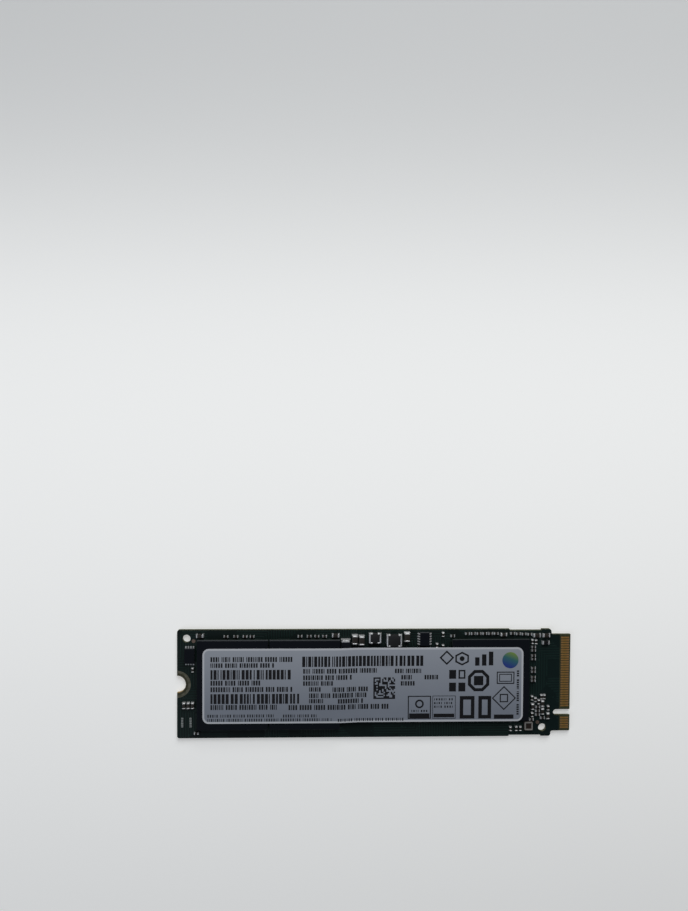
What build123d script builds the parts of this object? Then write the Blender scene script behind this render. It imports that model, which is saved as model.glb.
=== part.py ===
# Gumstick solid state drive: an 80 mm card, 22 mm wide, with components on one face only.
# It lies on its bare back. X runs along the card towards the contact edge, Y across it, Z up.
# The origin is the middle of the card's footprint, on the surface that it lies on.
# Sizes are in millimetres.
import os

from build123d import *

# Card
card_thickness = 0.8
card_corner_radius = 0.5
shoulder_step = 1.075
shoulder_radius = 0.4
copper = 0.04

# Contact tongue, keyed at pins 59 to 66
tongue_length = 4.0
contact_pitch = 0.5
contact_width = 0.35
contact_length = 1.65
contact_tip_margin = 0.35
contact_side_margin = 0.5
mask_margin = 0.25
tip_bevel = 0.2
key_width = 1.2
key_depth = 3.5
last_pin = 75
key_pins = range(59, 67)

# Mounting notch in the end of the card
notch_radius = 1.75
notch_land_radius = 2.75

# Tooling holes, placed from the contact shoulder and from the notch end
tooling_hole_diameter = 1.6
tooling_hole_from_shoulder = 1.72
tooling_hole_from_notch_end = 1.9
tooling_hole_across = 9.25

# Steps where the card was broken out of its panel
break_step_depth = 0.25
break_step_length = 6.6
break_step_from_shoulder = 2.0

# Layout along the card, from the notch end to the contact tip
notch_zone = 4.15
package_gap = 0.25
power_row_length = 20.92
controller_gap = 1.63
host_zone = 4.7

# Layout across the card: the packages line up along component_line, above the card's middle
component_line = 9.1
flash_row_offset = 0.62
controller_row_offset = 1.08
lane_pair_pitch = 0.72

# Ball grid packages: laminate, mould and solder balls
flash_width = 14.2
flash_depth = 18.0
flash_height = 1.4
controller_width = 15.7
controller_depth = 16.6
controller_height = 0.95
memory_width = 14.5
memory_depth = 10.0
memory_height = 0.95
memory_from_line = 3.9
ball_height = 0.22
ball_radius = 0.22
ball_sides = 5
laminate_thickness = 0.25
mould_chamfer = 0.06
ball_pitch = 1.0
ball_margin = 1.1

# Chip capacitors and resistors, in four body sizes
end_plating = 0.03
small_chip_length = 1.0
small_chip_width = 0.5
small_chip_height = 0.5
small_chip_band = 0.26
medium_chip_length = 1.4
medium_chip_width = 0.65
medium_chip_height = 0.6
medium_chip_band = 0.38
large_chip_length = 1.6
large_chip_width = 0.8
large_chip_height = 0.65
large_chip_band = 0.4
tall_chip_length = 2.0
tall_chip_width = 1.2
tall_chip_height = 1.15
tall_chip_band = 0.5
bulk_chip_length = 3.2
bulk_chip_width = 1.9
bulk_chip_height = 1.0
bulk_chip_band = 0.7

# Power coils
small_coil_length = 2.55
small_coil_width = 2.1
large_coil_length = 3.2
large_coil_width = 2.5
coil_height = 0.9
coil_band = 0.4

# Power chip with leads down both sides
power_chip_width = 1.9
power_chip_depth = 2.7
power_chip_height = 0.75
power_lead_count = 5
power_lead_pitch = 0.52
power_lead_width = 0.24
power_lead_reach = 0.48
power_lead_thickness = 0.14
standoff = 0.06

# Configuration chip, its terminals showing past both ends
config_chip_width = 2.0
config_chip_depth = 3.0
config_chip_height = 0.75
config_pad_count = 4
config_pad_pitch = 0.5
config_pad_width = 0.3
config_pad_length = 0.75
config_pad_reach = 0.4
config_pad_height = 0.16
config_chip_from_notch_end = 2.55
config_chip_across = 5.85

# Crystal
crystal_side = 1.85
crystal_base_height = 0.4
crystal_lid_height = 0.2
crystal_lid_inset = 0.1
crystal_rim_width = 0.22
crystal_rim_height = 0.06

# Alignment marks and the unfitted footprint
mark_diameter = 0.75
mark_height = 0.03
bare_pad_width = 0.42
bare_pad_length = 2.1
bare_pad_spacing = 1.67

# Label
label_thickness = 0.1
label_width = 15.1
label_corner_radius = 1.25
label_inset_notch_end = 1.15
label_inset_contact_end = 1.3
label_from_line = 1.55
label_ramp_length = 3.6
label_bend_radius = 3.0

# Places worked out along the card
half_pitch = contact_pitch / 2
tongue_width = half_pitch * (last_pin - 1) + contact_width + 2 * contact_side_margin
card_width = tongue_width + 2 * shoulder_step
flash_zone = 2 * flash_width + package_gap
power_zone = power_row_length + small_chip_width / 2 + controller_gap
card_length = notch_zone + flash_zone + power_zone + controller_width + host_zone + tongue_length
tip = card_length / 2
notch_end = -card_length / 2
shoulder = tip - tongue_length
flash_left = notch_end + notch_zone
flash_right = flash_left + flash_zone
flash_two_left = flash_right - flash_width
controller_left = flash_right + power_zone
controller_right = controller_left + controller_width
controller_foot = component_line - controller_depth
key_middle = half_pitch * ((last_pin + 1) / 2 - (key_pins[0] + key_pins[-1]) / 2)

on_base = (Align.CENTER, Align.CENTER, Align.MIN)
across = 90

os.makedirs("parts", exist_ok=True)


def keep(part, name):
    """Labels a finished piece and writes it."""
    part.label = name
    export_step(part, f"parts/{name}.step")


# Circuit board: outline, then mask relief, bevel and holes

tooling_holes = [
    (shoulder - tooling_hole_from_shoulder, -tooling_hole_across),
    (notch_end + tooling_hole_from_notch_end, tooling_hole_across),
]
contact_zone = contact_tip_margin + contact_length + mask_margin

with BuildPart() as circuit_board:
    with BuildSketch() as outline:
        with Locations(((notch_end + shoulder) / 2, 0)):
            Rectangle(shoulder - notch_end, card_width)
        outer_corners = outline.vertices()
        fillet(outer_corners, min(card_corner_radius, 0.45 * shoulder_step))
        with Locations((shoulder - card_corner_radius, 0)):
            Rectangle(tongue_length + card_corner_radius, tongue_width, align=(Align.MIN, Align.CENTER))
        inner_corners = outline.vertices().filter_by(
            lambda v: abs(v.X - shoulder) < 0.01 and abs(abs(v.Y) - tongue_width / 2) < 0.01
        )
        fillet(inner_corners, min(shoulder_radius, 0.4 * shoulder_step))
        with Locations((notch_end, 0)):
            Circle(notch_radius, mode=Mode.SUBTRACT)
        with Locations((tip - key_depth + key_width / 2, key_middle)):
            Circle(key_width / 2, mode=Mode.SUBTRACT)
            Rectangle(key_depth, key_width, align=(Align.MIN, Align.CENTER), mode=Mode.SUBTRACT)
        step_x = shoulder - break_step_from_shoulder - break_step_length / 2
        with Locations((step_x, card_width / 2), (step_x, -card_width / 2)):
            Rectangle(break_step_length, 2 * break_step_depth, mode=Mode.SUBTRACT)
        with Locations(*tooling_holes):
            Circle(tooling_hole_diameter / 2, mode=Mode.SUBTRACT)
    extrude(amount=card_thickness)
    with BuildSketch(Plane.XY, Plane.XY.offset(card_thickness - copper)):
        with Locations((tip - contact_zone, 0)):
            Rectangle(contact_zone, card_width, align=(Align.MIN, Align.CENTER))
    extrude(amount=copper, mode=Mode.SUBTRACT)
    tip_edges = circuit_board.edges().filter_by(Axis.Y).group_by(Axis.X)[-1]
    chamfer(tip_edges, length=tip_bevel)
    with Locations((notch_end, 0, 0), (notch_end, 0, card_thickness - copper)):
        Cylinder(notch_land_radius, copper, align=on_base, mode=Mode.SUBTRACT)
keep(circuit_board.part, "circuit_board")

# Plated lands of the mounting notch, flush with both faces of the card

with BuildPart() as notch_plating:
    with BuildSketch(Plane.XY, Plane.XY.offset(card_thickness - copper)):
        with Locations((notch_end, 0)):
            Circle(notch_land_radius)
            Circle(notch_radius, mode=Mode.SUBTRACT)
    extrude(amount=copper)
    split(bisect_by=Plane.YZ.offset(notch_end), keep=Keep.TOP)
keep(notch_plating.part, "notch_plating")

# Gold contact fingers: odd pins on the top face, even pins on the back


def contact_places(first):
    """Finger centres for every other pin from first, without the pins that the key removes."""
    x = tip - contact_tip_margin - contact_length / 2
    middle = (last_pin + 1) / 2
    pins = [pin for pin in range(first, last_pin + 1, 2) if pin not in key_pins]
    return [(x, half_pitch * (middle - pin)) for pin in pins]


with BuildPart() as top_contacts:
    with BuildSketch(Plane.XY.offset(card_thickness - copper)):
        with Locations(*contact_places(1)):
            Rectangle(contact_length, contact_width)
    extrude(amount=copper)
keep(top_contacts.part, "top_contacts")

with BuildPart() as back_contacts:
    with BuildSketch():
        with Locations(*contact_places(2)):
            Rectangle(contact_length, contact_width)
    extrude(amount=copper)
keep(back_contacts.part, "back_contacts")

# Ball grid packages


def make_package(name, left, size, line, columns, rows):
    """One package: two blocks of balls along its sides, laminate, mould."""
    width, depth, height = size
    x = left + width / 2
    y = line - depth / 2
    laminate_floor = card_thickness + ball_height
    mould_floor = laminate_floor + laminate_thickness
    with BuildPart() as balls:
        with BuildSketch(Plane.XY.offset(card_thickness)):
            block_spacing = width - 2 * ball_margin - (columns - 1) * ball_pitch
            with Locations((x, y)):
                with GridLocations(block_spacing, 1, 2, 1):
                    with GridLocations(ball_pitch, ball_pitch, columns, rows):
                        RegularPolygon(ball_radius, ball_sides)
        extrude(amount=ball_height)
    keep(balls.part, f"{name}_balls")
    with BuildPart() as laminate:
        with Locations((x, y, laminate_floor)):
            Box(width, depth, laminate_thickness, align=on_base)
    keep(laminate.part, f"{name}_laminate")
    with BuildPart() as mould:
        with Locations((x, y, mould_floor)):
            Box(width, depth, card_thickness + height - mould_floor, align=on_base)
        chamfer(mould.edges().group_by(Axis.Z)[-1], length=mould_chamfer)
    keep(mould.part, f"{name}_mould")


flash_size = (flash_width, flash_depth, flash_height)
controller_size = (controller_width, controller_depth, controller_height)
memory_size = (memory_width, memory_depth, memory_height)
memory_left = (flash_right + controller_left - memory_width) / 2
memory_line = component_line - memory_from_line

make_package("flash_one", flash_left, flash_size, component_line, columns=3, rows=9)
make_package("flash_two", flash_two_left, flash_size, component_line, columns=3, rows=9)
make_package("controller", controller_left, controller_size, component_line, columns=2, rows=12)
make_package("memory", memory_left, memory_size, memory_line, columns=2, rows=8)

# Chip capacitors, coils and the resistor: a block with a metal cup over each end

chip_sizes = {
    "small": (small_chip_length, small_chip_width, small_chip_height, small_chip_band),
    "medium": (medium_chip_length, medium_chip_width, medium_chip_height, medium_chip_band),
    "large": (large_chip_length, large_chip_width, large_chip_height, large_chip_band),
    "tall": (tall_chip_length, tall_chip_width, tall_chip_height, tall_chip_band),
    "bulk": (bulk_chip_length, bulk_chip_width, bulk_chip_height, bulk_chip_band),
    "small coil": (small_coil_length, small_coil_width, coil_height, coil_band),
    "large coil": (large_coil_length, large_coil_width, coil_height, coil_band),
}


def at_height(z, places):
    """Locations on the card for places given as (x, y, turn)."""
    return Locations(*[Location((x, y, z), (0, 0, turn)) for x, y, turn in places])


def chip_blocks(kind, places, mode=Mode.ADD):
    """The blocks inside the cups."""
    length, width, height = [size - 2 * end_plating for size in chip_sizes[kind][:3]]
    with at_height(card_thickness + end_plating, places):
        Box(length, width, height, align=on_base, mode=mode)


def make_chips(name, chips):
    """Writes the bodies and the ends of a group of chips, given as (kind, places)."""
    with BuildPart() as bodies:
        for kind, places in chips:
            chip_blocks(kind, places)
    keep(bodies.part, f"{name}_bodies")
    with BuildPart() as ends:
        for kind, places in chips:
            length, width, height, band = chip_sizes[kind]
            end_x = (length - band) / 2
            with at_height(card_thickness, places):
                with Locations((-end_x, 0), (end_x, 0)):
                    Box(band, width, height, align=on_base)
        for kind, places in chips:
            chip_blocks(kind, places, Mode.SUBTRACT)
    keep(ends.part, f"{name}_ends")


# Chip places, measured from the ends of the card and of the packages and from component_line
row_y = component_line + flash_row_offset
controller_row_y = component_line + controller_row_offset
large_row_y = component_line + large_chip_width
lane_x = controller_right + small_chip_length

notch_end_chips = [
    ("small", [(notch_end + 3.14, 2.95, across), (notch_end + 3.9, controller_foot - 2.42, 0)]),
    ("medium", [(notch_end + 1.41 + 0.87 * n, -4.27, across) for n in range(3)]),
    ("large", [(notch_end + 4.6, large_row_y, 0)]),
]
flash_row_chips = [
    ("small", [(flash_left + part * flash_width, row_y, 0) for part in (0.40, 0.54, 0.67, 0.77)]),
    ("small", [(flash_two_left + part * flash_width, row_y, 0) for part in (0.43, 0.56, 0.67, 0.78)]),
    ("large", [(flash_right - 0.9, large_row_y, 0)]),
]

# Power row: its parts stand one after the other, and share out the free length between them
power_row = [
    ("bulk", bulk_chip_width, 3),
    ("tall one", tall_chip_width, 5),
    ("tall two", tall_chip_width, 3),
    ("small coil", small_coil_length, 14),
    ("large coil", large_coil_length, 17),
    ("tall three", tall_chip_width, 6),
    ("power chip", power_chip_width + 2 * power_lead_reach, 26),
    ("single", small_chip_width, 14),
    ("pair", small_chip_width, 12),
]
power_row_end = power_row_length + small_chip_width / 2
free_length = power_row_end - sum(width for part, width, share in power_row)
free_share = free_length / sum(share for part, width, share in power_row)
power_x = {}
next_x = flash_right
for part, width, share in power_row:
    next_x += share * free_share
    power_x[part] = next_x + width / 2
    next_x += width

power_row_chips = [
    ("bulk", [(power_x["bulk"], component_line - 1.5, across)]),
    ("tall", [(power_x["tall one"], component_line, across)]),
    ("tall", [(power_x["tall two"], component_line - 0.15, across)]),
    ("tall", [(power_x["tall three"], component_line + 0.5, across)]),
    ("small", [(power_x["single"], component_line - 1.35, across)]),
    ("small", [(power_x["pair"], component_line + y, across) for y in (-1.65, 0.9)]),
    ("small", [(controller_left + 0.1, row_y, 0)]),
]

# Controller row: as many chips as there is room for, then a larger one and four more
row_step = small_chip_length + 0.17
row_count = int((controller_width - 8.6) / row_step)
controller_row_chips = [
    ("small", [(controller_left + 3.12 + row_step * n, controller_row_y, 0) for n in range(row_count)]),
    ("medium", [(controller_right - 5.15, controller_row_y - 0.2, 0)]),
    ("small", [(controller_right - 3.35 + row_step * n, controller_row_y - 0.06 * n, 0) for n in range(4)]),
]
lane_pairs = [y + side * lane_pair_pitch / 2 for y in (7.05, 5.28, 2.7, 0.82) for side in (-1, 1)]
lane_capacitors = [("small", [(lane_x, y, 0) for y in lane_pairs])]
host_chips = [
    ("large", [(controller_right + x, large_row_y - 0.1, 0) for x in (1.64, 3.57)]),
    ("small", [(controller_right + 0.73, 8.5, across), (controller_right + 1.46, 8.45, across)]),
    (
        "small",
        [
            (controller_right + 0.79, -3.13, across),
            (controller_right + 1.47, -3.47, across),
            (controller_right + 2.15, -3.92, across),
            (controller_right + 2.7, -2.86, across),
            (controller_right + 3.3, -2.86, across),
            (controller_right + 0.84, -6.54, across),
            (controller_right + 4.12, -5.18, across),
        ],
    ),
    ("small", [(controller_right + 1.94, -4.94 - 0.78 * n, 0) for n in range(3)]),
    ("small", [(controller_right + 2.97, -7.17, 0), (controller_right + 0.7, -7.48, 0)]),
    ("small", [(controller_right - x, controller_foot - 1.88, across) for x in (3.6, 2.4, 1.55)]),
    (
        "medium",
        [
            (controller_right + 0.89, -4.86, across),
            (controller_right + 2.93, -4.23, across),
            (controller_right + 2.95, -5.84, across),
            (controller_right + 4.06, -6.79, across),
        ],
    ),
]

make_chips("notch_end_chip", notch_end_chips)
make_chips("flash_row_chip", flash_row_chips)
make_chips("power_row_chip", power_row_chips)
make_chips("controller_row_chip", controller_row_chips)
make_chips("lane_capacitor", lane_capacitors)
make_chips("host_chip", host_chips)
make_chips("resistor", [("large", [(controller_right + 3.46, 8.3, 0)])])
make_chips("small_coil", [("small coil", [(power_x["small coil"], component_line + 0.28, 0)])])
make_chips("large_coil", [("large coil", [(power_x["large coil"], component_line - 0.2, 0)])])

# Power chip: a moulded body with bent leads down both long sides

power_chip_place = (power_x["power chip"], component_line + 0.05)

with BuildPart() as power_chip_body:
    with Locations((*power_chip_place, card_thickness + standoff)):
        Box(power_chip_width, power_chip_depth, power_chip_height - standoff, align=on_base)
    chamfer(power_chip_body.edges().group_by(Axis.Z)[-1], length=mould_chamfer)
keep(power_chip_body.part, "power_chip_body")

with BuildPart() as power_chip_leads:
    lead_row = power_lead_pitch * (power_lead_count - 1) + power_lead_width
    root = power_chip_place[0] + power_chip_width / 2
    toe = root + power_lead_reach
    heel = (root + toe - power_lead_thickness) / 2
    lead_middle = card_thickness + power_chip_height / 2
    with BuildSketch(Plane.XZ.offset(-power_chip_place[1])):
        with BuildLine():
            Polyline(
                (root, lead_middle),
                (root, lead_middle + power_lead_thickness),
                (heel + power_lead_thickness, lead_middle + power_lead_thickness),
                (heel + power_lead_thickness, card_thickness + power_lead_thickness),
                (toe, card_thickness + power_lead_thickness),
                (toe, card_thickness),
                (heel, card_thickness),
                (heel, lead_middle),
                close=True,
            )
        make_face()
    extrude(amount=lead_row / 2, both=True)
    mirror(about=Plane.YZ.offset(power_chip_place[0]))
    with Locations((*power_chip_place, card_thickness)):
        with GridLocations(1, power_lead_pitch, 1, power_lead_count - 1):
            Box(
                power_chip_width + 2 * power_lead_reach,
                power_lead_pitch - power_lead_width,
                power_chip_height,
                align=on_base,
                mode=Mode.SUBTRACT,
            )
keep(power_chip_leads.part, "power_chip_leads")

# Configuration chip by the notch end

config_chip_place = (notch_end + config_chip_from_notch_end, config_chip_across)

with BuildPart() as config_chip_body:
    with Locations((*config_chip_place, card_thickness + config_pad_height)):
        Box(config_chip_width, config_chip_depth, config_chip_height - config_pad_height, align=on_base)
    chamfer(config_chip_body.edges().group_by(Axis.Z)[-1], length=mould_chamfer)
keep(config_chip_body.part, "config_chip_body")

with BuildPart() as config_chip_pads:
    pad_row_y = config_chip_depth / 2 + config_pad_reach - config_pad_length / 2
    with Locations((*config_chip_place, card_thickness)):
        with GridLocations(config_pad_pitch, 2 * pad_row_y, config_pad_count, 2):
            Box(config_pad_width, config_pad_length, config_pad_height, align=on_base)
keep(config_chip_pads.part, "config_chip_pads")

# Crystal: ceramic base under a metal lid with a raised seam round its edge

crystal_place = (controller_right + 0.07, controller_foot - 0.35 - crystal_side / 2)

with BuildPart() as crystal_base:
    with Locations((*crystal_place, card_thickness)):
        Box(crystal_side, crystal_side, crystal_base_height, align=on_base)
keep(crystal_base.part, "crystal_base")

with BuildPart() as crystal_lid:
    lid_side = crystal_side - 2 * crystal_lid_inset
    lid_floor = card_thickness + crystal_base_height
    well_floor = lid_floor + crystal_lid_height - crystal_rim_height
    with BuildSketch(Plane.XY.offset(lid_floor)):
        with Locations(crystal_place):
            RectangleRounded(lid_side, lid_side, crystal_rim_width)
    extrude(amount=crystal_lid_height)
    with Locations((*crystal_place, well_floor)):
        well_side = lid_side - 2 * crystal_rim_width
        Box(well_side, well_side, crystal_rim_height, align=on_base, mode=Mode.SUBTRACT)
keep(crystal_lid.part, "crystal_lid")

# Copper marks that the assembly machine looks for, and one footprint left unfitted

with BuildPart() as alignment_marks:
    with BuildSketch(Plane.XY.offset(card_thickness)):
        with Locations(
            (notch_end + 3.3, component_line - 0.35),
            (controller_right + 2.0, controller_foot - 0.66),
        ):
            Circle(mark_diameter / 2)
    extrude(amount=mark_height)
keep(alignment_marks.part, "alignment_marks")

with BuildPart() as bare_pads:
    with BuildSketch(Plane.XY.offset(card_thickness)):
        with Locations((notch_end + 1.86, -7.77)):
            with GridLocations(bare_pad_spacing, 1, 2, 1):
                Rectangle(bare_pad_width, bare_pad_length)
    extrude(amount=mark_height)
keep(bare_pads.part, "bare_pads")

# Label: one sheet that lies on the flash packages and steps down to the memory and the controller

label_start = flash_left + label_inset_notch_end
label_end = controller_right - label_inset_contact_end
label_middle_y = component_line - label_from_line - label_width / 2
upper_level = card_thickness + flash_height
lower_level = card_thickness + max(controller_height, memory_height)
bend_run = label_bend_radius * (upper_level - lower_level) / (2 * label_ramp_length)
ramp_start = flash_right + bend_run

with BuildPart() as label:
    with BuildSketch(Plane.XZ.offset(-label_middle_y)):
        with BuildLine():
            underside = FilletPolyline(
                (label_start, upper_level),
                (ramp_start, upper_level),
                (ramp_start + label_ramp_length, lower_level),
                (label_end, lower_level),
                radius=label_bend_radius,
            )
            offset(underside, amount=label_thickness, side=Side.LEFT)
        make_face()
    extrude(amount=label_width / 2, both=True)
    with BuildSketch():
        with Locations(((label_start + label_end) / 2, label_middle_y)):
            RectangleRounded(label_end - label_start, label_width, label_corner_radius)
    extrude(amount=2 * upper_level, mode=Mode.INTERSECT)
keep(label.part, "label")

print(f"card {card_length:.2f} x {card_width:.2f} mm, tongue {tongue_width:.2f} mm")
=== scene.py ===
# %% [markdown]
# # Dressing a gumstick solid state drive
#
# The drive is a bare circuit card, 80 mm by 22 mm. The CAD model already holds every solid at its
# true place, so this lesson loads it as a fixed frame and then works on what the eye sees: rounded
# chip parts with their solder, the printed label, and a material for every surface. Blender works
# in metres here, and the card is small, so most sizes below are written in millimetres and
# multiplied by `mm`.

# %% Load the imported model
import math
import random

import bmesh
import bpy
from mathutils import Matrix, Vector


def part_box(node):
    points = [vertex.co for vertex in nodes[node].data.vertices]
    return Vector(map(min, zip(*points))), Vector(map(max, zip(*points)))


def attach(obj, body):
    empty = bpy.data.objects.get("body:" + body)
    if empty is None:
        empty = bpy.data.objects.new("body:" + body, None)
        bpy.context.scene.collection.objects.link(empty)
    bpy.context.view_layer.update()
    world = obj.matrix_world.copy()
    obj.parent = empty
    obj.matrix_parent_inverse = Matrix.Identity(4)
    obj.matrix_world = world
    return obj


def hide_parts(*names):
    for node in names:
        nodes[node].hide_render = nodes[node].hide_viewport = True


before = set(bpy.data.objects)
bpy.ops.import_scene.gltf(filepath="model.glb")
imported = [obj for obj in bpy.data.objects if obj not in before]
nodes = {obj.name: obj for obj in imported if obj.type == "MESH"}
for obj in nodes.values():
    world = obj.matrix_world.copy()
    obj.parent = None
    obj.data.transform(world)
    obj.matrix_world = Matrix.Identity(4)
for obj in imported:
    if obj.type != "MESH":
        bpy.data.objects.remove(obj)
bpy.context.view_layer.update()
mm = 0.001

# %% [markdown]
# ## Camera
#
# The photograph looks almost straight down at the label, from a point a little above the card's
# long edge. Its lens and place were worked out from the card's known corners. The picture is taller
# than wide, so the 36 mm sensor side is the picture's height.

# %% Camera at the photograph's angle
view = bpy.data.cameras.new("camera")
view.sensor_width = 36
view.lens = 31.61
view.clip_start = 5 * mm
camera = bpy.data.objects.new("camera", view)
bpy.context.scene.collection.objects.link(camera)
camera.location = (-11.86 * mm, 50.89 * mm, 161.57 * mm)
camera.rotation_euler = [math.radians(turn) for turn in (-1.655, -1.866, 0.307)]
bpy.context.scene.camera = camera
print("camera stands", round(camera.location.z / mm, 1), "mm above the floor")

# %% [markdown]
# ## Floor and light
#
# A pale floor and soft light keep the eye on the card. The photograph has a bright backdrop behind
# an object that is itself in half shade, so the floor gives off a little light of its own. That
# light fades towards the far end of the floor and a little towards the near end, as it does on a
# paper sweep. The large lamp stands beyond the card's long edge: it lights the thin bright line
# along the side of each package, which the package walls' paler painted colour strengthens. A weak
# lamp fills in from the other side. Nothing bright hangs above the card, because the flat black
# packages would mirror it. So the sky gives only a dim light, while a camera that looks past the
# floor's end sees a pale backdrop.

# %% Helpers for colour and shader nodes
def linear(hex_colour):
    """Turns an sRGB hex colour into the linear values that shaders work with."""
    parts = [int(hex_colour[i : i + 2], 16) / 255 for i in (1, 3, 5)]
    return [p / 12.92 if p <= 0.04045 else ((p + 0.055) / 1.055) ** 2.4 for p in parts] + [1]


def add(tree, kind, inputs=None, **settings):
    """Adds a shader node; an input is given a value, or the socket that feeds it."""
    node = tree.nodes.new("ShaderNode" + kind)
    for name, value in settings.items():
        setattr(node, name, value)
    for name, value in (inputs or {}).items():
        if isinstance(value, bpy.types.NodeSocket):
            tree.links.new(value, node.inputs[name])
        else:
            node.inputs[name].default_value = value
    return node


print("mid grey in linear light:", round(linear("#808080")[0], 3))

# %% [markdown]
# The floor lies a hair below the card, so that the two surfaces never fight for the same place. It
# is clear from below, which lets a camera down there see the card's bare back.

# %% Floor
floor_drop = 0.02 * mm
bpy.ops.object.select_all(action="DESELECT")
bpy.ops.mesh.primitive_plane_add(size=3, location=(0, 0, -floor_drop))
floor = bpy.context.object
floor.name = "floor"
paint = bpy.data.materials.new("pale paper floor")
paint.use_nodes = True
skin = paint.node_tree.nodes["Principled BSDF"]
skin.inputs["Base Color"].default_value = linear("#e4e6e6")
skin.inputs["Roughness"].default_value = 0.9
skin.inputs["Specular IOR Level"].default_value = 0.1
skin.inputs["Emission Color"].default_value = linear("#f6f6f4")
tree = paint.node_tree
where = add(tree, "SeparateXYZ", {0: add(tree, "TexCoord").outputs["Object"]}).outputs["Y"]
inputs = {"Value": where, "From Min": -60 * mm, "From Max": 140 * mm}
along = add(tree, "MapRange", inputs).outputs["Result"]
glow = add(tree, "ValToRGB", {"Fac": along})
glow.color_ramp.interpolation = "B_SPLINE"
glow_steps = [(0, 0.29), (0.3, 0.43), (0.5, 0.47), (0.68, 0.46), (0.84, 0.16), (1, 0.05)]
while len(glow.color_ramp.elements) < len(glow_steps):
    glow.color_ramp.elements.new(0.5)
for step, (spot, strength) in zip(glow.color_ramp.elements, glow_steps):
    step.position = spot
    step.color = (strength, strength, strength, 1)
tree.links.new(glow.outputs["Color"], skin.inputs["Emission Strength"])
from_below = add(tree, "NewGeometry").outputs["Backfacing"]
clear = add(tree, "BsdfTransparent").outputs[0]
one_sided = add(tree, "MixShader", {0: from_below, 1: skin.outputs[0], 2: clear}).outputs[0]
tree.links.new(one_sided, tree.nodes["Material Output"].inputs["Surface"])
floor.data.materials.append(paint)
print("floor made, its glow has", len(glow_steps), "steps")

# %% Lamps and surroundings
def add_lamp(name, place, aim, size, power, tint):
    """A square soft lamp at a place, turned towards a point, all in metres."""
    light = bpy.data.lights.new(name, "AREA")
    light.size = size
    light.energy = power
    light.color = linear(tint)[:3]
    lamp = bpy.data.objects.new(name, light)
    bpy.context.scene.collection.objects.link(lamp)
    lamp.location = place
    lamp.rotation_euler = (Vector(aim) - Vector(place)).to_track_quat("-Z", "Y").to_euler()
    return lamp


add_lamp("key", (0.06, 0.42, 0.33), (0, 0, 0), 0.34, 1.65, "#ffffff")
add_lamp("fill", (-0.36, -0.22, 0.30), (0, 0, 0), 0.30, 0.45, "#eef3ff")
world = bpy.data.worlds.new("studio")
world.use_nodes = True
tree = world.node_tree
sky = tree.nodes["Background"]
sky.inputs["Color"].default_value = linear("#dfe6f0")
sky.inputs["Strength"].default_value = 0.07
backdrop = add(tree, "Background", {"Color": linear("#d2d6d8")})
seen = add(tree, "LightPath").outputs["Is Camera Ray"]
surroundings = add(tree, "MixShader", {0: seen, 1: sky.outputs[0], 2: backdrop.outputs[0]})
tree.links.new(surroundings.outputs[0], tree.nodes["World Output"].inputs["Surface"])
bpy.context.scene.world = world
bpy.context.scene.view_settings.view_transform = "Standard"
print("two lamps, a dim sky and a pale backdrop")

# %% [markdown]
# ## Materials
#
# Each material starts the same way: a Principled shader and the object's own coordinates, counted
# in millimetres. A pattern's scale is then one over its real size, which keeps every grain honest.
# The plain colour and roughness given first hold only until a pattern is linked to that socket. The
# link then takes their place, so such a finish is changed at its pattern and not in the first line.

# %% Start of every material
def new_material(name, colour, roughness, metallic=0.0):
    """A named material with its shader, and the place on the object in millimetres."""
    material = bpy.data.materials.new(name)
    material.use_nodes = True
    tree = material.node_tree
    shader = tree.nodes["Principled BSDF"]
    shader.inputs["Base Color"].default_value = linear(colour)
    shader.inputs["Roughness"].default_value = roughness
    shader.inputs["Metallic"].default_value = metallic
    coordinates = add(tree, "TexCoord")
    place = add(tree, "VectorMath", {0: coordinates.outputs["Object"], "Scale": 1000}, operation="SCALE")
    return material, tree, shader, place.outputs["Vector"]


def mix_colours(tree, amount, first, second):
    """Blends two colours, given as hex or as sockets, by an amount from 0 to 1."""
    first, second = [linear(c) if isinstance(c, str) else c for c in (first, second)]
    inputs = {0: amount, 6: first, 7: second}
    return add(tree, "Mix", inputs, data_type="RGBA", clamp_factor=True).outputs[2]


def grain(tree, place, size, detail=3.0):
    """Even noise whose specks are about size millimetres wide."""
    return add(tree, "TexNoise", {"Vector": place, "Scale": 1 / size, "Detail": detail}).outputs["Fac"]


def sharpen(tree, value, low, high):
    """Stretches a value so that low becomes 0 and high becomes 1."""
    return add(tree, "MapRange", {"Value": value, "From Min": low, "From Max": high}).outputs["Result"]


def calculate(tree, operation, first, second=0.0):
    """One step of arithmetic on values or sockets."""
    return add(tree, "Math", {0: first, 1: second}, operation=operation).outputs["Value"]


def raise_surface(tree, shader, height, depth):
    """Lets a height pattern tilt the light on the surface; depth is in millimetres."""
    bump = add(tree, "Bump", {"Height": height, "Distance": depth * mm, "Strength": 1.0})
    tree.links.new(bump.outputs["Normal"], shader.inputs["Normal"])


print("material helpers ready")

# %% [markdown]
# ### Circuit board
#
# A circuit card is glass-fibre laminate under a green solder mask. The mask lies over copper
# traces, which show through as slightly lighter lines, and over small plated holes. The sawn and
# milled edges, and the windows in the mask round the contacts, show the bare yellow-green laminate.
# The wall of the end notch is plated. All of this is one solid, so the material asks where on the
# card each point is. Real traces are about 0.1 mm wide; here they are 0.2 mm so that they still
# show.

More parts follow.
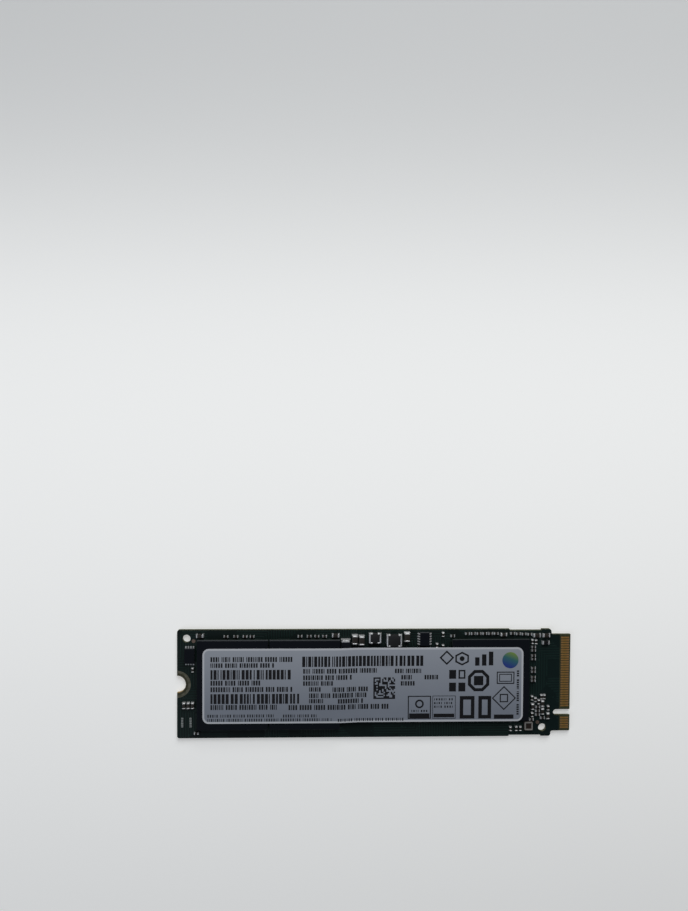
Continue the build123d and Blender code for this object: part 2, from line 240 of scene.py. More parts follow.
# %% Solder mask, laminate edge and plated notch wall
area_size = 5.5
trace_step = 0.26
trace_edge = (0.13, 0.16)
hole_spacing = 1.9
mask_roughness = 0.42
laminate_roughness = 0.75
board_top = 0.78
board_foot = 0.02
notch_wall = 1.8
board_finish, tree, shader, place = new_material("solder mask over FR4 laminate", "#13211f", mask_roughness)
axes = add(tree, "SeparateXYZ", {0: place}).outputs
flat_place = add(tree, "CombineXYZ", {"X": axes["X"], "Y": axes["Y"]}).outputs[0]
inputs = {"Vector": flat_place, "Scale": 1 / area_size}
areas = add(tree, "TexVoronoi", inputs, distance="CHEBYCHEV").outputs["Color"]
area_kind = add(tree, "SeparateXYZ", {0: areas}).outputs["X"]
lines_along = sharpen(tree, calculate(tree, "PINGPONG", axes["Y"], trace_step), *trace_edge)
lines_across = sharpen(tree, calculate(tree, "PINGPONG", axes["X"], trace_step), *trace_edge)
runs_along = calculate(tree, "LESS_THAN", area_kind, 0.38)
runs_across = calculate(tree, "GREATER_THAN", area_kind, 0.72)
traces = calculate(
    tree,
    "ADD",
    calculate(tree, "MULTIPLY", lines_along, runs_along),
    calculate(tree, "MULTIPLY", lines_across, runs_across),
)
hole_field = add(tree, "TexVoronoi", {"Vector": flat_place, "Scale": 1 / hole_spacing}).outputs["Distance"]
hole_rings = calculate(tree, "LESS_THAN", hole_field, 0.085)
hole_middles = calculate(tree, "LESS_THAN", hole_field, 0.04)
towards_contacts = sharpen(tree, axes["X"], 25, 36)
plain_mask = mix_colours(tree, grain(tree, place, 3.0), "#0e1716", "#142220")
teal_mask = mix_colours(tree, grain(tree, place, 3.0), "#0d1c1b", "#122423")
mask_tone = mix_colours(tree, towards_contacts, plain_mask, teal_mask)
mask_tone = mix_colours(tree, calculate(tree, "MULTIPLY", traces, 0.35), mask_tone, "#1f3b35")
mask_tone = mix_colours(tree, calculate(tree, "MULTIPLY", hole_rings, 0.5), mask_tone, "#26443d")
mask_tone = mix_colours(tree, hole_middles, mask_tone, "#0c1512")

height_on_card = axes["Z"]
above_back = calculate(tree, "GREATER_THAN", height_on_card, board_foot)
below_face = calculate(tree, "LESS_THAN", height_on_card, board_top)
bare = calculate(tree, "MULTIPLY", above_back, below_face)
weave = add(tree, "TexWave", {"Vector": place, "Scale": 1 / 0.35, "Distortion": 1.5}, bands_direction="Z")
laminate_tone = mix_colours(tree, weave.outputs["Fac"], "#3a3d29", "#585b3c")
from_notch = add(tree, "VectorMath", {0: flat_place, 1: (-40, 0, 0)}, operation="DISTANCE").outputs["Value"]
in_notch = calculate(tree, "MULTIPLY", bare, calculate(tree, "LESS_THAN", from_notch, notch_wall))
card_tone = mix_colours(tree, bare, mask_tone, laminate_tone)
tree.links.new(mix_colours(tree, in_notch, card_tone, "#b59a66"), shader.inputs["Base Color"])
tree.links.new(in_notch, shader.inputs["Metallic"])
inputs = {"Value": bare, "To Min": mask_roughness, "To Max": laminate_roughness}
rough = add(tree, "MapRange", inputs).outputs["Result"]
tree.links.new(rough, shader.inputs["Roughness"])
relief = calculate(tree, "ADD", traces, calculate(tree, "MULTIPLY", hole_rings, 0.6))
shader.inputs["Specular IOR Level"].default_value = 0.28
raise_surface(tree, shader, relief, 0.012)
print("board finish uses", len(tree.nodes), "nodes")

# %% [markdown]
# ### Metals
#
# The contact fingers are hard gold over nickel, brushed lengthways by every insertion. The socket's
# springs leave a duller stripe across the middle of all of them. The notch land is a thinner,
# greyer gold, worn olive where a screw head turns on it. Chip ends and leads are tin wetted with
# solder: bright, with a slightly lumpy skin. The solder is dulled by a thin white oxide, so it is
# set a little less than fully metallic. The crystal's lid is nickel, pressed in at its middle, and
# that pressed-in middle is painted dark as painted shade. The alignment marks are copper under a
# clear coat. Rough metal spreads a lamp's light wide, so these metals glow softly even where no lamp
# is mirrored.

# %% Gold of the contacts and of the notch land
gold_finish, tree, shader, place = new_material("hard gold plating", "#c99b52", 0.5, 1.0)
stretched = add(tree, "VectorMath", {0: place, 1: (0.12, 1, 1)}, operation="MULTIPLY").outputs["Vector"]
scratches = grain(tree, stretched, 0.06, 4)
across = add(tree, "SeparateXYZ", {0: place}).outputs["X"]
finger_middle = 38.75
from_middle = calculate(tree, "ABSOLUTE", calculate(tree, "SUBTRACT", across, finger_middle))
fresh_gold = mix_colours(tree, scratches, "#cb9560", "#f2c48c")
wiped_gold = mix_colours(tree, scratches, "#c0944e", "#e8bc72")
gold_tone = mix_colours(tree, sharpen(tree, from_middle, 0.1, 0.95), wiped_gold, fresh_gold)
tree.links.new(gold_tone, shader.inputs["Base Color"])
gloss = add(tree, "MapRange", {"Value": scratches, "To Min": 0.48, "To Max": 0.64})
tree.links.new(gloss.outputs["Result"], shader.inputs["Roughness"])
raise_surface(tree, shader, scratches, 0.004)

land_finish, tree, shader, place = new_material("immersion gold plating", "#8d8c78", 0.5, 1.0)
notch_centre = (-40, 0, 0)
screw_head_radius = 2.02
level_place = add(tree, "VectorMath", {0: place, 1: (1, 1, 0)}, operation="MULTIPLY").outputs["Vector"]
inputs = {0: level_place, 1: notch_centre}
from_centre = add(tree, "VectorMath", inputs, operation="DISTANCE").outputs["Value"]
wear = sharpen(tree, grain(tree, place, 0.5), 0.35, 0.65)
screw_mark = calculate(tree, "ABSOLUTE", calculate(tree, "SUBTRACT", from_centre, screw_head_radius))
screw_mark = sharpen(tree, screw_mark, 0.28, 0.12)
land_tone = mix_colours(tree, wear, "#777563", "#979482")
land_tone = mix_colours(tree, calculate(tree, "MULTIPLY", screw_mark, 0.7), land_tone, "#4e4e36")
tree.links.new(land_tone, shader.inputs["Base Color"])
raise_surface(tree, shader, grain(tree, place, 0.12), 0.006)
print("gold is dulled", finger_middle, "mm from the card's middle")

# %% Tin, nickel and copper
tin_finish, tree, shader, place = new_material("tin plate wetted with solder", "#ecedee", 0.4, 0.7)
lumps = grain(tree, place, 0.22, 2)
tree.links.new(mix_colours(tree, lumps, "#dcdfe0", "#fbfcfc"), shader.inputs["Base Color"])
gloss = add(tree, "MapRange", {"Value": lumps, "To Min": 0.36, "To Max": 0.5})
tree.links.new(gloss.outputs["Result"], shader.inputs["Roughness"])
raise_surface(tree, shader, lumps, 0.006)

nickel_finish, tree, shader, place = new_material("nickel plated lid", "#ccc8c1", 0.45, 0.75)
lid_low, lid_high = [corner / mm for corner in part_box("crystal_lid")]
lid_middle = (lid_low + lid_high) / 2
lid_half = (lid_high - lid_low) / 2
inputs = {0: place, 1: lid_middle}
lid_place = add(tree, "VectorMath", inputs, operation="SUBTRACT").outputs["Vector"]
lid_place = add(tree, "VectorMath", {0: lid_place}, operation="ABSOLUTE").outputs["Vector"]
inputs = {0: lid_place, 1: (lid_half.x, lid_half.y, 9)}
past_lid = add(tree, "VectorMath", inputs, operation="SUBTRACT").outputs[0]
lid_steps = add(tree, "SeparateXYZ", {0: past_lid}).outputs
to_side = calculate(tree, "MAXIMUM", lid_steps["X"], lid_steps["Y"])
# Painted shade: the pressed-in middle of the lid is painted dark brown; the same mask also lowers it in the
# bump.
pressed = sharpen(tree, to_side, -0.18, -0.32)
lid_grain = grain(tree, place, 0.1)
lid_tone = mix_colours(tree, lid_grain, "#b9b5ae", "#dedbd5")
tree.links.new(mix_colours(tree, pressed, lid_tone, "#4a3f39"), shader.inputs["Base Color"])
raise_surface(tree, shader, calculate(tree, "SUBTRACT", lid_grain, pressed), 0.01)

copper_finish, tree, shader, place = new_material("copper under clear coat", "#a48d80", 0.5, 1.0)
copper_tone = mix_colours(tree, grain(tree, place, 0.3), "#8f7667", "#b8a497")
tree.links.new(copper_tone, shader.inputs["Base Color"])
print("lid half sizes", [round(v, 2) for v in lid_half], "mm")

# %% Tin of the unfitted pads, drawn out into small ridges, with painted shade in the hollows
ridge_finish, tree, shader, place = new_material("levelled solder on bare pads", "#b9bdbb", 0.45, 1.0)
ridge_pitch = 0.34
along_pad = add(tree, "SeparateXYZ", {0: place}).outputs["Y"]
ridges = sharpen(tree, calculate(tree, "PINGPONG", along_pad, ridge_pitch / 2), 0.03, 0.1)
# Painted shade: the hollows between the ridges are painted dark grey.
tree.links.new(mix_colours(tree, ridges, "#4f5652", "#cdd2cf"), shader.inputs["Base Color"])
raise_surface(tree, shader, ridges, 0.03)
print("ridges stand", ridge_pitch, "mm apart")

# %% [markdown]
# ### Packages, chip ceramics and ferrite
#
# The memory and controller packages are epoxy mould compound, pressed against a finely sparked
# steel tool, which leaves a matt grain of about 0.05 mm. They are moulded many together and sawn
# apart, and the saw leaves their side walls paler than their tops. That paler wall colour is also
# painted light: it paints in the thin bright line that the lamp draws along each package's side.
# Their carrier laminate shows at the foot as a thin dark green line. Capacitors are fired ceramic,
# brown-grey and faintly mottled. Coils are pressed ferrite powder.

# %% Mould compound, ceramics and ferrite
mould_finish, tree, shader, place = new_material("epoxy mould compound", "#0f1116", 0.6)
sparked = grain(tree, place, 0.09, 5)
moulded_tone = mix_colours(tree, sparked, "#0b0e14", "#161b23")
facing = add(tree, "SeparateXYZ", {0: add(tree, "NewGeometry").outputs["True Normal"]}).outputs["Z"]
# Painted light: upright walls are painted paler, partly the sawn finish and partly a painted highlight of
# the lamp's light.
sawn_and_lit_walls = sharpen(tree, calculate(tree, "ABSOLUTE", facing), 0.6, 0.3)
tree.links.new(mix_colours(tree, sawn_and_lit_walls, moulded_tone, "#4a4d50"), shader.inputs["Base Color"])
shader.inputs["Specular IOR Level"].default_value = 0.12
raise_surface(tree, shader, sparked, 0.012)

carrier_finish, tree, shader, place = new_material("resin carrier laminate", "#1a241c", 0.6)
carrier_tone = mix_colours(tree, grain(tree, place, 0.15), "#131b15", "#2b3a2c")
tree.links.new(carrier_tone, shader.inputs["Base Color"])

ceramic_finish, tree, shader, place = new_material("fired capacitor ceramic", "#35312b", 0.5)
mottle = grain(tree, place, 0.2, 4)
tree.links.new(mix_colours(tree, mottle, "#221f1c", "#34302a"), shader.inputs["Base Color"])
raise_surface(tree, shader, mottle, 0.004)

glaze_finish, tree, shader, place = new_material("black resistor glaze", "#141416", 0.35)
glaze_tone = mix_colours(tree, grain(tree, place, 0.2), "#0e0e10", "#1a1a1d")
tree.links.new(glaze_tone, shader.inputs["Base Color"])

ferrite_finish, tree, shader, place = new_material("pressed ferrite", "#151619", 0.6)
powder = grain(tree, place, 0.07, 5)
tree.links.new(mix_colours(tree, powder, "#0e0f11", "#1c1d20"), shader.inputs["Base Color"])
raise_surface(tree, shader, powder, 0.012)

crystal_finish, tree, shader, place = new_material("dark fired ceramic", "#2b2623", 0.55)
crystal_tone = mix_colours(tree, grain(tree, place, 0.12), "#231f1c", "#38322e")
tree.links.new(crystal_tone, shader.inputs["Base Color"])
print("six ceramics and plastics")

# %% [markdown]
# ### Label film and inks
#
# The label is a silver-grey polyester film with a thin clear laminate on top. Its rim is painted
# lighter, a painted highlight where the cut edge catches the light, and the film is painted lighter
# towards its top edge, a painted reflection of the bright surroundings. The rim is found with the
# distance to a rounded rectangle. The ink is dull black, and the round colour patch is a plain blend
# from blue to green.

# %% Film, ink and colour patch
film_finish, tree, shader, place = new_material("silver polyester film", "#9aa1ae", 0.4)
film_low, film_high = [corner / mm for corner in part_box("label")]
middle = (film_low + film_high) / 2
corner_radius = 1.25
rim_from = 0.42
rim_full = 0.3
half = (film_high - film_low) / 2 - Vector((corner_radius, corner_radius, 0))
centred = add(tree, "VectorMath", {0: place, 1: middle}, operation="SUBTRACT").outputs["Vector"]
folded = add(tree, "VectorMath", {0: centred}, operation="ABSOLUTE").outputs["Vector"]
inputs = {0: folded, 1: (half.x, half.y, 9)}
beyond = add(tree, "VectorMath", inputs, operation="SUBTRACT").outputs["Vector"]
outside = add(tree, "VectorMath", {0: beyond, 1: (0, 0, 0)}, operation="MAXIMUM").outputs["Vector"]
to_corner = add(tree, "VectorMath", {0: outside}, operation="LENGTH").outputs["Value"]
painted_rim_highlight = sharpen(tree, to_corner, corner_radius - rim_from, corner_radius - rim_full)
film_tone = mix_colours(tree, grain(tree, place, 14), "#838a96", "#9198a4")
y_for_painted_light = add(tree, "SeparateXYZ", {0: place}).outputs["Y"]
# Painted light: the film is painted lighter towards its top edge, a painted reflection of the bright
# surroundings.
film_tone = mix_colours(tree, sharpen(tree, y_for_painted_light, -5, 14), film_tone, "#bac0c9")
# Painted highlight: the rim is painted lighter where the cut edge catches the light.
film_tone = mix_colours(tree, calculate(tree, "MULTIPLY", painted_rim_highlight, 0.85), film_tone, "#dcdfe4")
tree.links.new(film_tone, shader.inputs["Base Color"])
shader.inputs["Coat Weight"].default_value = 0.25
shader.inputs["Coat Roughness"].default_value = 0.25
raise_surface(tree, shader, grain(tree, place, 2.5), 0.01)

ink_finish, tree, shader, place = new_material("black thermal ink", "#0d0e12", 0.5)
ink_tone = mix_colours(tree, grain(tree, place, 0.25), "#090a0d", "#17181d")
tree.links.new(ink_tone, shader.inputs["Base Color"])

patch_finish, tree, shader, place = new_material("blue to green ink", "#2f7a66", 0.35)
slope = add(tree, "VectorMath", {0: place, 1: (0.35, 0.9, 0)}, operation="DOT_PRODUCT").outputs["Value"]
patch_tone = mix_colours(tree, sharpen(tree, slope, 12.9, 14.3), "#33468f", "#3d7276")
patch_tone = mix_colours(tree, sharpen(tree, slope, 14.3, 15.6), patch_tone, "#849f48")
tree.links.new(patch_tone, shader.inputs["Base Color"])

print("label spans", [round(v, 2) for v in film_low], "to", [round(v, 2) for v in film_high], "mm")

# %% Give the CAD nodes their finishes
finishes = {
    "circuit_board": board_finish,
    "notch_plating": land_finish,
    "top_contacts": gold_finish,
    "back_contacts": gold_finish,
    "power_chip_body": mould_finish,
    "power_chip_leads": tin_finish,
    "config_chip_body": mould_finish,
    "config_chip_pads": tin_finish,
    "crystal_base": crystal_finish,
    "crystal_lid": nickel_finish,
    "alignment_marks": copper_finish,
    "bare_pads": ridge_finish,
    "label": film_finish,
}
for package in ("flash_one", "flash_two", "controller", "memory"):
    finishes[package + "_mould"] = mould_finish
    finishes[package + "_laminate"] = carrier_finish
    finishes[package + "_balls"] = tin_finish
for node, finish in finishes.items():
    nodes[node].data.materials.clear()
    nodes[node].data.materials.append(finish)
print("finished", len(finishes), "CAD nodes")

# %% [markdown]
# ## Chip parts and their solder
#
# A chip capacitor is a ceramic block between two metal caps, and solder climbs each cap in a hollow
# curve. The CAD caps are plain boxes, so they are replaced here. One cap with its solder is
# modelled for each size, then copied to every place, because all chips of a size are alike. The
# places are read from the CAD solids themselves: each separate block in a node gives one box.

# %% Modelling helpers
def deselect():
    bpy.ops.object.select_all(action="DESELECT")


def choose(piece, test):
    """In edit mode, selects the corners whose place passes a test."""
    mesh = bmesh.from_edit_mesh(piece.data)
    for corner in mesh.verts:
        corner.select = bool(test(corner.co))
    mesh.select_flush(True)
    mesh.select_flush(False)
    bmesh.update_edit_mesh(piece.data)


def choose_faces(piece, test):
    """In edit mode, selects the faces whose middle and number pass a test."""
    bpy.ops.mesh.select_mode(type="FACE")
    mesh = bmesh.from_edit_mesh(piece.data)
    for face in mesh.faces:
        face.select_set(bool(test(face.calc_center_median(), face.index)))
    bmesh.update_edit_mesh(piece.data)


def add_block(name, low, high):
    """A cube primitive stretched between two corners, with its place kept in its mesh."""
    deselect()
    low, high = Vector(low), Vector(high)
    bpy.ops.mesh.primitive_cube_add(size=1, location=(low + high) / 2)
    block = bpy.context.object
    block.name = name
    block.scale = high - low
    bpy.ops.object.transform_apply(location=True, rotation=True, scale=True)
    return block


def round_edges(piece, width, segments=2):
    """Bevels the sharp edges of a piece and keeps the result."""
    bevel = piece.modifiers.new("rounding", "BEVEL")
    bevel.width = width
    bevel.segments = segments
    bevel.limit_method = "ANGLE"
    bpy.context.view_layer.objects.active = piece
    bpy.ops.object.modifier_apply(modifier=bevel.name)


def join(name, parts):
    """Joins pieces into one, under a name."""
    deselect()
    for part in parts:
        part.select_set(True)
    bpy.context.view_layer.objects.active = parts[0]
    bpy.ops.object.join()
    parts[0].name = name
    return parts[0]


def copy_to(pattern, place, turn):
    """A copy of a pattern with its own mesh, turned about Z and set down at a place."""
    copy = pattern.copy()
    copy.data = pattern.data.copy()
    bpy.context.scene.collection.objects.link(copy)
    copy.data.transform(Matrix.Translation(place) @ Matrix.Rotation(turn, 4, "Z"))
    return copy


def settle(piece, finish, slot, *stands_for):
    """Last steps for every piece: finish, smooth shading, body and replaced CAD nodes; slot is not used."""
    piece.data.materials.clear()
    piece.data.materials.append(finish)
    deselect()
    piece.select_set(True)
    bpy.context.view_layer.objects.active = piece
    bpy.ops.object.shade_smooth_by_angle(angle=math.radians(40))
    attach(piece, "root")
    if stands_for:
        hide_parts(*stands_for)


def boxes_of(node):
    """The lowest and highest corner of each separate solid in a CAD node."""
    mesh = bmesh.new()
    mesh.from_mesh(nodes[node].data)
    bmesh.ops.remove_doubles(mesh, verts=mesh.verts, dist=1e-6)
    found, seen = [], set()
    for start in mesh.verts:
        if start in seen:
            continue
        group, queue = [], [start]
        seen.add(start)
        while queue:
            corner = queue.pop()
            group.append(corner.co.copy())
            for edge in corner.link_edges:
                other = edge.other_vert(corner)
                if other not in seen:
                    seen.add(other)
                    queue.append(other)
        low = Vector([min(c[i] for c in group) for i in range(3)])
        high = Vector([max(c[i] for c in group) for i in range(3)])
        found.append((low, high))
    mesh.free()
    return found


print("host chips:", len(boxes_of("host_chip_bodies")))

# %% Patterns for a cap with its solder, and for the block between the caps
patterns = {}
cap_rounding = 0.24
solder_rise = 0.78
overlap = 0.02 * mm


def cap_pattern(band, width, height, setback, reach):
    """A rounded cap and a hollow solder slope, pointing along +X from the CAD solid's end face at x = 0."""
    key = ("cap", round(band, 5), round(width, 5), round(height, 5))
    if key in patterns:
        return patterns[key]
    cap = add_block("cap", (-band, -width / 2, 0), (-setback, width / 2, height))
    round_edges(cap, cap_rounding * height, 3)
    foot = -setback - overlap
    slope = add_block("slope", (foot, -0.5 * width, 0), (reach, 0.5 * width, solder_rise * height))
    bpy.ops.object.mode_set(mode="EDIT")
    length = reach - foot
    for part, drop in ((0.3, 0.5), (0.62, 0.8), (1.0, 0.96)):
        if part < 1:
            bpy.ops.mesh.select_all(action="SELECT")
            bpy.ops.mesh.bisect(plane_co=(foot + part * length, 0, 0), plane_no=(1, 0, 0))
        choose(slope, lambda co: co.x > foot + (part - 0.02) * length and co.z > 0.01 * mm)
        level = solder_rise * height
        choose(slope, lambda co: abs(co.x - foot - part * length) < 0.01 * length and co.z > 0.5 * level)
        bpy.ops.transform.translate(value=(0, 0, -drop * level))
    bpy.ops.object.mode_set(mode="OBJECT")
    pattern = join("cap_pattern", [cap, slope])
    patterns[key] = pattern
    return pattern


def block_pattern(length, width, height):
    """The rounded block between two caps, lying along X and centred there."""
    key = ("block", round(length, 5), round(width, 5), round(height, 5))
    if key not in patterns:
        block = add_block("block", (-length / 2, -width / 2, 0), (length / 2, width / 2, height))
        round_edges(block, 0.08 * height)
        patterns[key] = block
    return patterns[key]


test_cap = cap_pattern(0.26 * mm, 0.5 * mm, 0.5 * mm, 0.07 * mm, 0.03 * mm)
print("one cap has", len(test_cap.data.polygons), "faces")

# %% Dress every group of chips
broad = 1.5 * mm
hook_depth = 0.3 * mm
hook_proud = 0.015 * mm


def hook_pattern(band, width, height, length):
    """The two arms of a coil's clip, reaching in from the clip along both edges of the ferrite block."""
    key = ("hook", round(band, 5), round(width, 5), round(height, 5))
    if key not in patterns:
        arms = []
        for side in (-1, 1):
            inner, outer = side * (width / 2 - hook_depth), side * (width / 2 + hook_proud)
            low = (-band - length, min(inner, outer), 0)
            high = (-band + 0.05 * mm, max(inner, outer), height + hook_proud)
            arms.append(add_block("arm", low, high))
            round_edges(arms[-1], 0.1 * mm, 3)
        patterns[key] = join("hook_pattern", arms)
    return patterns[key]


def dress_chips(group, finish, slot, setback=0.07 * mm, reach=0.03 * mm, hook=0):
    """Puts rounded blocks, caps and solder in place of a group; broad capacitors are moulded."""
    blocks, broad_blocks, caps = [], [], []
    ends = boxes_of(group + "_ends")
    for low, high in boxes_of(group + "_bodies"):
        middle = (low + high) / 2
        mine = sorted(ends, key=lambda box: ((box[0] + box[1]) / 2 - middle).length)[:2]
        floor_z = min(box[0].z for box in mine)
        for box in mine:
            centre = (box[0] + box[1]) / 2
            away = centre - middle
            along_x = abs(away.x) > abs(away.y)
            turn = math.atan2(0, away.x) if along_x else math.copysign(math.pi / 2, away.y)
            size = box[1] - box[0]
            band, width = (size.x, size.y) if along_x else (size.y, size.x)
            face = centre + Vector((math.cos(turn), math.sin(turn), 0)) * band / 2
            pattern = cap_pattern(band, width, size.z, setback, reach)
            caps.append(copy_to(pattern, (face.x, face.y, floor_z), turn))
            if hook:
                arms = hook_pattern(band, width, size.z, hook)
                caps.append(copy_to(arms, (face.x, face.y, floor_z), turn))
        size = high - low
        length, width = (size.x, size.y) if along_x else (size.y, size.x)
        block = block_pattern(length - 2 * setback - overlap, width - overlap, size.z)
        block = copy_to(block, (middle.x, middle.y, low.z), 0 if along_x else math.pi / 2)
        is_broad = finish is ceramic_finish and width > broad
        (broad_blocks if is_broad else blocks).append(block)
    count = len(blocks) + len(broad_blocks)
    settle(join(group + "_blocks", blocks), finish, slot, group + "_bodies")
    if broad_blocks:
        moulded = join(group + "_moulded_blocks", broad_blocks)
        settle(moulded, mould_finish, "mould_compound", group + "_bodies")
    settle(join(group + "_solder", caps), tin_finish, "tin_plate", group + "_ends")
    print(group, "has", count, "chips")


capacitor_groups = ["notch_end_chip", "flash_row_chip", "power_row_chip", "controller_row_chip"]
capacitor_groups += ["lane_capacitor", "host_chip"]
for group in capacitor_groups:
    dress_chips(group, ceramic_finish, "capacitor_ceramic")
dress_chips("resistor", glaze_finish, "resistor_glaze")
for coil in ("small_coil", "large_coil"):
    dress_chips(coil, ferrite_finish, "ferrite", hook=0.4 * mm)

# %% Put the patterns away
for pattern in patterns.values():
    bpy.data.objects.remove(pattern)
print("patterns removed:", len(patterns))

# %% [markdown]
# ## What is printed on the label
#
# The real label carries words, codes and marks of approval. None of that is copied: every field is
# filled with something plain that has the same weight of ink. A line of print becomes a row of
# short upright strokes, a bar code becomes bars of chance widths, and each mark becomes a simple
# shape. The ink starts as a flat grid in the air over the label. Unwanted cells are deleted,
# Shrinkwrap lets the rest down onto the film, so that it follows the step between the packages, and
# Solidify gives it the thickness of ink.

# %% Printing helpers
chance = random.Random(7)
air = 4 * mm


def ink_grid(left, low, width, height, columns, rows, keep):
    """A flat grid in the air; keep says, for each column and row, whether that cell is inked."""
    deselect()
    place = ((left + width / 2) * mm, (low + height / 2) * mm, air)
    bpy.ops.mesh.primitive_grid_add(x_subdivisions=columns, y_subdivisions=rows, size=1, location=place)
    grid = bpy.context.object
    grid.scale = (width * mm, height * mm, 1)
    bpy.ops.object.transform_apply(location=True, rotation=True, scale=True)
    bpy.ops.object.mode_set(mode="EDIT")

    def unwanted(centre, number):
        column = int((centre.x / mm - left) / width * columns)
        row = int((centre.y / mm - low) / height * rows)
        return not keep(column, row)

    choose_faces(grid, unwanted)
    bpy.ops.mesh.delete(type="FACE")
    bpy.ops.object.mode_set(mode="OBJECT")
    return grid


def print_on_label(name, parts, finish, thickness=0.012):
    """Joins flat ink, lets it down onto the film and thickens it."""
    ink = join(name, parts)
    wrap = ink.modifiers.new("lay", "SHRINKWRAP")
    wrap.target = nodes["label"]
    wrap.wrap_method = "PROJECT"
    wrap.use_project_z = True
    wrap.use_negative_direction = True
    wrap.use_positive_direction = False
    wrap.offset = 0.004 * mm
    bpy.ops.object.modifier_apply(modifier=wrap.name)
    thicken = ink.modifiers.new("ink", "SOLIDIFY")
    thicken.thickness = thickness * mm
    thicken.offset = 1
    bpy.ops.object.modifier_apply(modifier=thicken.name)
    settle(ink, finish, "label_film")
    print(name, "has", len(ink.data.polygons), "faces")


# %% Bar codes of chance widths
bar_cell = 0.2


def bar_code(left, low, width, height):
    """Bars one to three cells wide with gaps between them, 0.2 mm a cell."""
    columns = round(width / bar_cell)
    inked = []
    while len(inked) < columns:
        inked += [True] * chance.choice((1, 2, 2, 3, 3))
        inked += [False] * chance.choice((1, 1, 1, 1, 2))
    inked[0] = inked[columns - 1] = True
    return ink_grid(left, low, width, height, columns, 1, lambda column, row: inked[column])


bars = [
    bar_code(-33.1, 1.35, 16.0, 1.95),
    bar_code(-33.1, -3.55, 17.7, 2.0),
    bar_code(-14.8, 3.85, 24.4, 2.1),
]
print_on_label("label_bars", bars, ink_finish)

# %% Lines of broken print
lines_of_print = [
    (-33.1, 4.9, 16.3, 1.0),
    (-33.1, 3.75, 12.8, 0.9),
    (-33.1, 0.15, 10.4, 1.0),
    (-33.1, -1.15, 16.3, 1.0),
    (-33.1, -4.75, 13.4, 1.0),
    (-17.5, -4.85, 20.1, 1.0),
    (-14.6, 2.5, 14.8, 0.95),
    (3.9, 2.4, 5.3, 0.9),
    (-14.6, 1.2, 9.9, 0.95),
    (5.2, 1.1, 2.1, 0.9),
    (9.9, 1.1, 2.9, 0.9),
    (-14.6, 0.05, 6.3, 0.9),
    (5.1, -0.15, 3.3, 0.9),
    (-13.4, -1.15, 2.3, 0.9),
    (-8.7, -1.25, 7.1, 0.95),
    (-13.4, -2.45, 11.7, 0.95),
    (-13.4, -3.5, 2.8, 0.85),
    (-7.6, -3.6, 5.2, 0.9),
]
small_print = [
    (-33.7, -6.3, 13.2, 0.6),
    (-18.6, -6.35, 6.7, 0.6),
    (-33.7, -7.15, 24.8, 0.6),
    (-7.6, -7.3, 13.5, 0.6),
]


def stroke_line(left, low, width, height, cell, gap=1):
    """Upright strokes of one height, one or two cells wide, in groups with wider gaps between them."""
    columns = round(width / cell)
    inked = []
    group_left = chance.randint(4, 9)
    while len(inked) < columns:
        inked += [True] * chance.choice((1, 2, 2)) + [False] * gap
        group_left -= 1
        if group_left == 0:
            inked += [False] * 2
            group_left = chance.randint(4, 9)
    return ink_grid(left, low, width, height, columns, 1, lambda column, row: inked[column])


rows = [stroke_line(*line, cell=0.17) for line in lines_of_print]
rows += [stroke_line(*line, cell=0.12, gap=2) for line in small_print]
print_on_label("label_lines", rows, ink_finish)

# %% Square field of chance cells
field_cells = 15
cells = [(column, row) for column in range(field_cells) for row in range(field_cells)]
field = {cell: chance.random() < 0.52 for cell in cells}


def in_field(column, row):
    """The field has an inked foot and left side."""
    return column == 0 or row == 0 or field[(column, row)]


square = ink_grid(-0.45, -2.85, 4.4, 4.4, field_cells, field_cells, in_field)
print_on_label("label_square_field", [square], ink_finish)

# %% Plain shapes in place of the marks
def outline(x, y, width, height, line, corners=4, turn=45):
    """A ring of any number of corners; with line 0 it is filled. Sizes in mm, turn in degrees."""
    deselect()
    bpy.ops.mesh.primitive_circle_add(
        vertices=corners,
        radius=math.sqrt(0.5) if corners == 4 else 0.5,
        fill_type="NGON",
        location=(0, 0, 0),
        rotation=(0, 0, math.radians(turn)),
    )
    shape = bpy.context.object
    bpy.ops.object.transform_apply(location=True, rotation=True, scale=True)
    shape.scale = (width * mm, height * mm, 1)
    shape.location = (x * mm, y * mm, air)
    bpy.ops.object.transform_apply(location=True, rotation=True, scale=True)
    if line:
        bpy.ops.object.mode_set(mode="EDIT")
        bpy.ops.mesh.select_all(action="SELECT")
        bpy.ops.mesh.inset(thickness=line * mm)
        bpy.ops.mesh.delete(type="FACE")
        bpy.ops.object.mode_set(mode="OBJECT")
    return shape


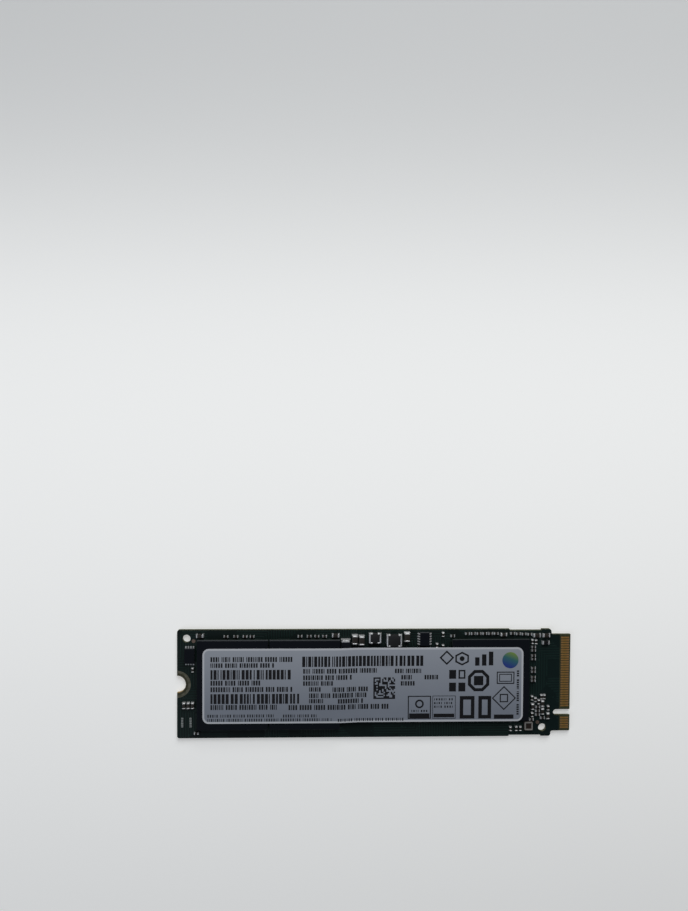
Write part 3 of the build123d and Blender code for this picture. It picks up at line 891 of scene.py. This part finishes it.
shapes = [
    outline(14.4, 5.5, 2.1, 2.1, 0.3, turn=0),
    outline(17.5, 5.3, 3.2, 2.8, 0.32, corners=6, turn=0),
    outline(17.5, 5.3, 1.0, 1.0, 0, corners=16),
    outline(20.6, 4.7, 0.9, 1.7, 0),
    outline(22.0, 5.0, 0.9, 2.3, 0),
    outline(23.4, 5.3, 0.9, 2.8, 0),
    outline(15.6, 2.1, 1.4, 1.8, 0),
    outline(15.6, -0.5, 1.4, 1.8, 0),
    outline(17.5, 2.1, 1.4, 1.8, 0.3),
    outline(17.5, -0.5, 1.4, 1.8, 0),
    outline(20.9, 0.8, 4.7, 4.7, 0.62, corners=8, turn=22.5),
    outline(20.9, 0.8, 1.9, 1.9, 0),
    outline(26.4, 1.35, 3.6, 2.5, 0.2),
    outline(26.4, 1.35, 2.6, 1.6, 0.16),
    outline(26.1, -2.8, 3.5, 3.5, 0.22, turn=0),
    outline(26.1, -2.8, 1.7, 1.7, 0.22),
    outline(26.1, -6.6, 4.0, 0.85, 0),
    outline(18.6, -4.65, 3.0, 4.6, 0.72),
    outline(22.2, -4.65, 2.6, 4.6, 0.72),
    outline(8.9, -4.6, 4.7, 4.7, 0.2),
    outline(8.9, -3.9, 1.8, 1.8, 0.32, corners=12),
    outline(8.9, -6.3, 4.1, 0.9, 0),
    outline(13.9, -4.6, 4.7, 4.7, 0.1),
    outline(13.9, -6.3, 4.2, 0.75, 0),
]
print_on_label("label_shapes", shapes, ink_finish)

# %% Tiny lines and the colour patch
tiny = {"height": 0.42, "cell": 0.13, "gap": 2}
tiny_rows = [stroke_line(11.9, -3.2 - 0.75 * n, 3.9, **tiny) for n in range(3)]
tiny_rows += [stroke_line(7.3, -5.55, 3.2, **tiny)]


def in_side_line(column, row):
    """Short strokes in groups, one above the other."""
    return row % 3 < 2 and row % 17 < 14


side_line = ink_grid(28.7, -6.2, 0.45, 9.2, 1, 60, in_side_line)
print_on_label("label_tiny_lines", tiny_rows + [side_line], ink_finish)
print_on_label("label_colour_patch", [outline(27.35, 4.93, 3.3, 3.3, 0, corners=40)], patch_finish)
